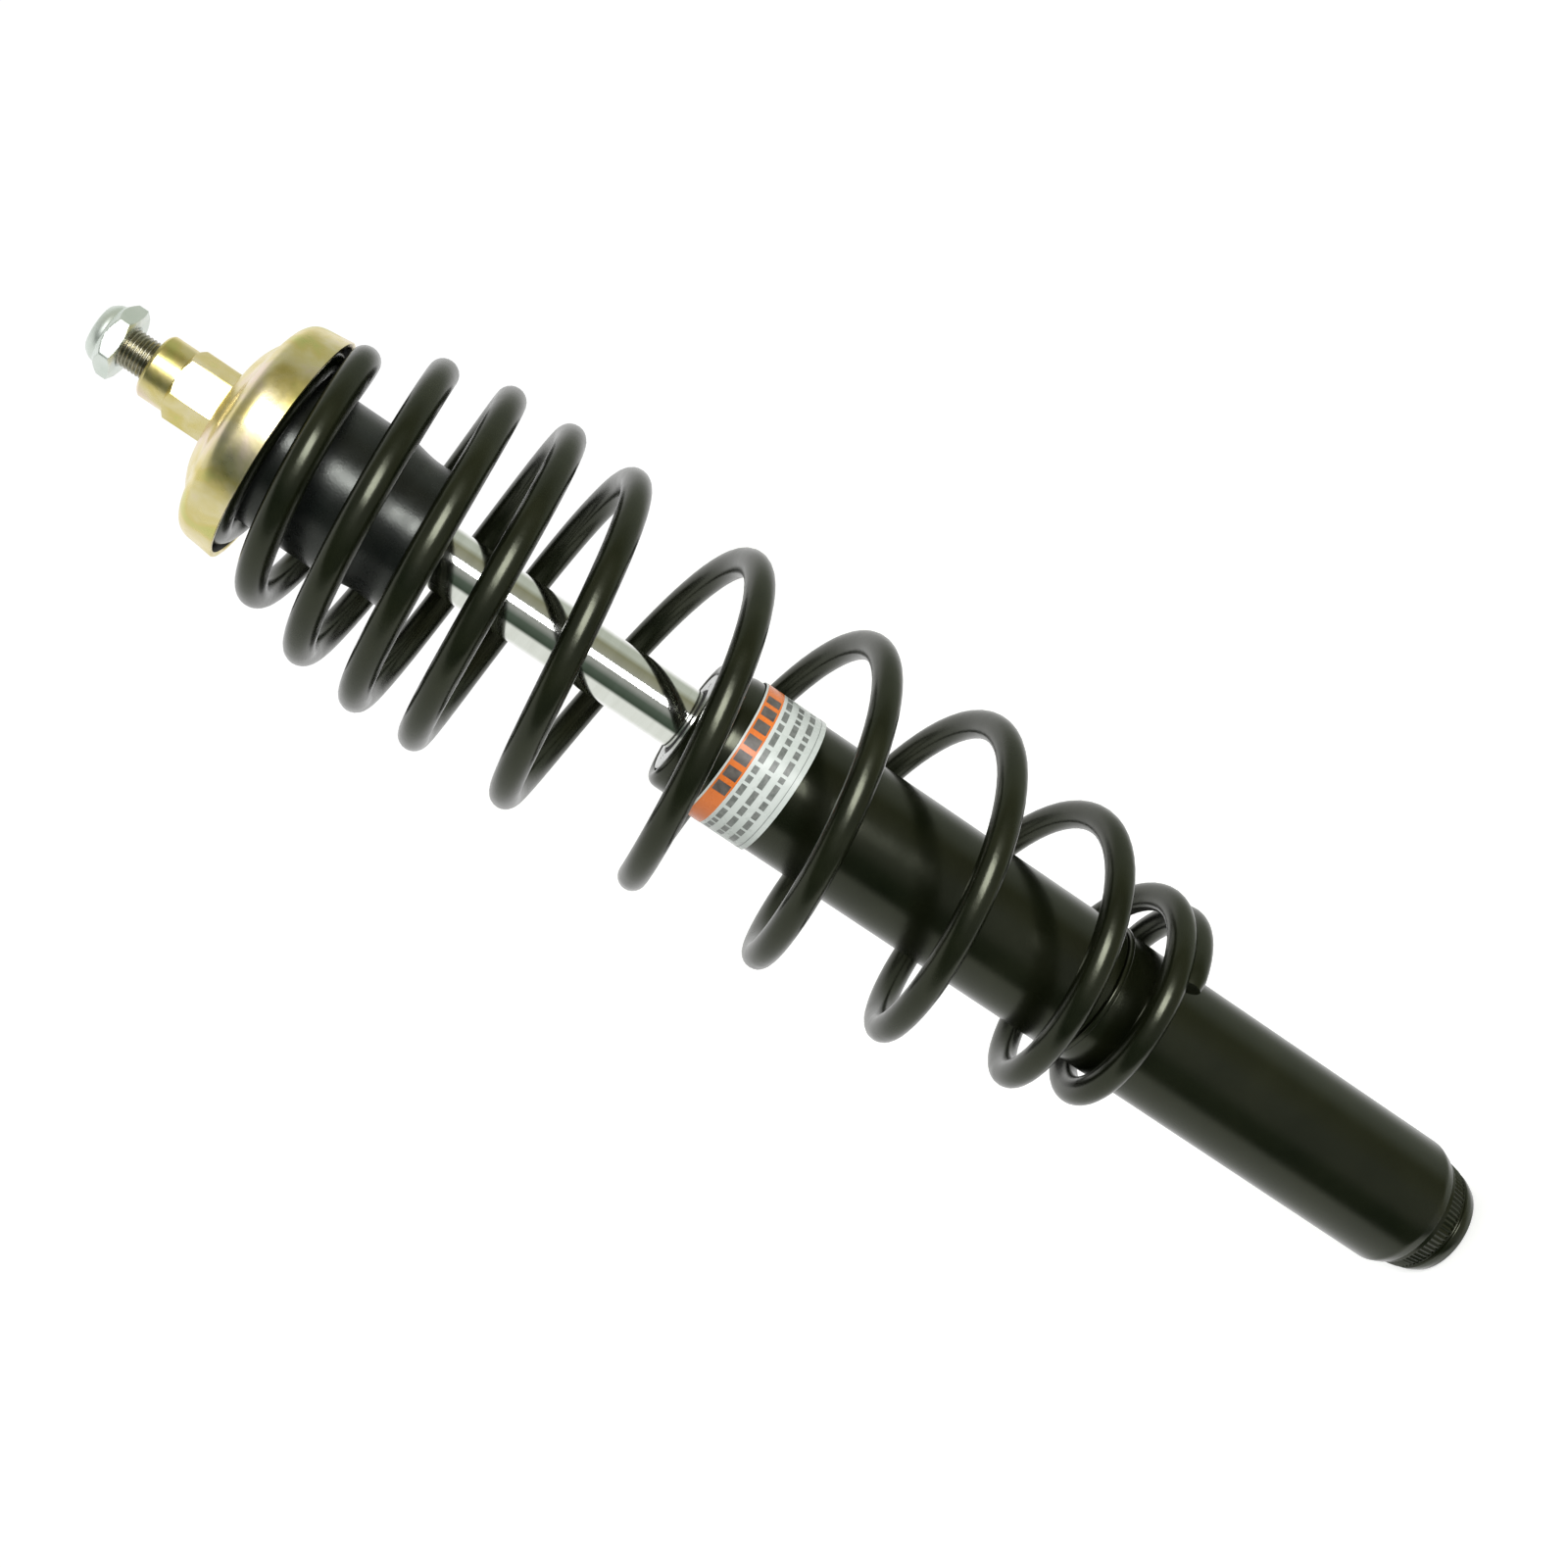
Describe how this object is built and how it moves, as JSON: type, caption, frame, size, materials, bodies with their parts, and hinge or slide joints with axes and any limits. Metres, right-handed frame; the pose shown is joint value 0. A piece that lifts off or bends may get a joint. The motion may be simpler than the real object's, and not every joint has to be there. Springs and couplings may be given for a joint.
{
  "type": "suspension strut",
  "caption": "Front suspension strut: hydraulic damper tube and chromed rod inside a barrel coil spring, with a domed upper spring cup, bump stop, hexagonal spacer and lock nut.",
  "frame": {"origin": "centre of the flat face at the foot of the tube", "axes": "+Z along the strut's axis, from the foot to the lock nut; +X is the side that the spring's closed lower turn leans to; the wire's cut end is between +X and -Y"},
  "size_m": [0.0915, 0.0904, 0.4223],
  "materials": {
    "black_paint": "satin to gloss black paint with an olive cast",
    "spring_black": "gloss black powder coat",
    "chrome_rod": "ground and chromed, dark steel thread",
    "clear_zinc": "bright clear zinc plating",
    "yellow_zinc": "yellow zinc plating with a faint rainbow",
    "steel": "plain steel",
    "sintered_iron": "sintered, matt",
    "bronze": "plain bearing bronze",
    "rubber": "satin moulded rubber",
    "nylon": "natural nylon",
    "label_print": "orange and white printed band, plain bars only"
  },
  "bodies": {
    "tube_body": {"strut_tube": "black_paint", "foot_cap": "black_paint", "gland_cap": "clear_zinc", "snap_ring": "black_paint", "label": "label_print", "rod_guide": "sintered_iron", "guide_bush": "bronze", "gland_o_ring": "rubber", "rod_seal": "rubber", "inner_cylinder": "steel", "base_valve_body": "sintered_iron", "base_valve_plate": "steel", "base_valve_spring": "steel", "coil_spring": "spring_black"},
    "piston_group": {"piston": "sintered_iron", "piston_band": "nylon", "compression_shims": "steel", "rebound_shims": "steel", "piston_nut": "steel", "rebound_stop": "nylon"},
    "rod_group": {"piston_rod": "chrome_rod", "bump_stop": "rubber", "upper_spring_cup": "yellow_zinc", "spring_isolator": "rubber", "hex_spacer": "yellow_zinc", "lock_nut": "clear_zinc", "nut_nylon_insert": "nylon"}
  },
  "joints": [
    {"name": "strut_travel", "type": "slide", "parent": "tube_body", "child": "piston_group", "axis": [0, 0, 1], "range_m": [-0.073, 0], "stiffness_N_per_m": 7200, "springref_m": 0.02, "deforming": ["coil_spring"]},
    {"name": "rod_turn", "type": "hinge", "parent": "piston_group", "child": "rod_group", "pos_m": [0, 0, 0.2], "axis": [0, 0, 1], "continuous": true}
  ]
}
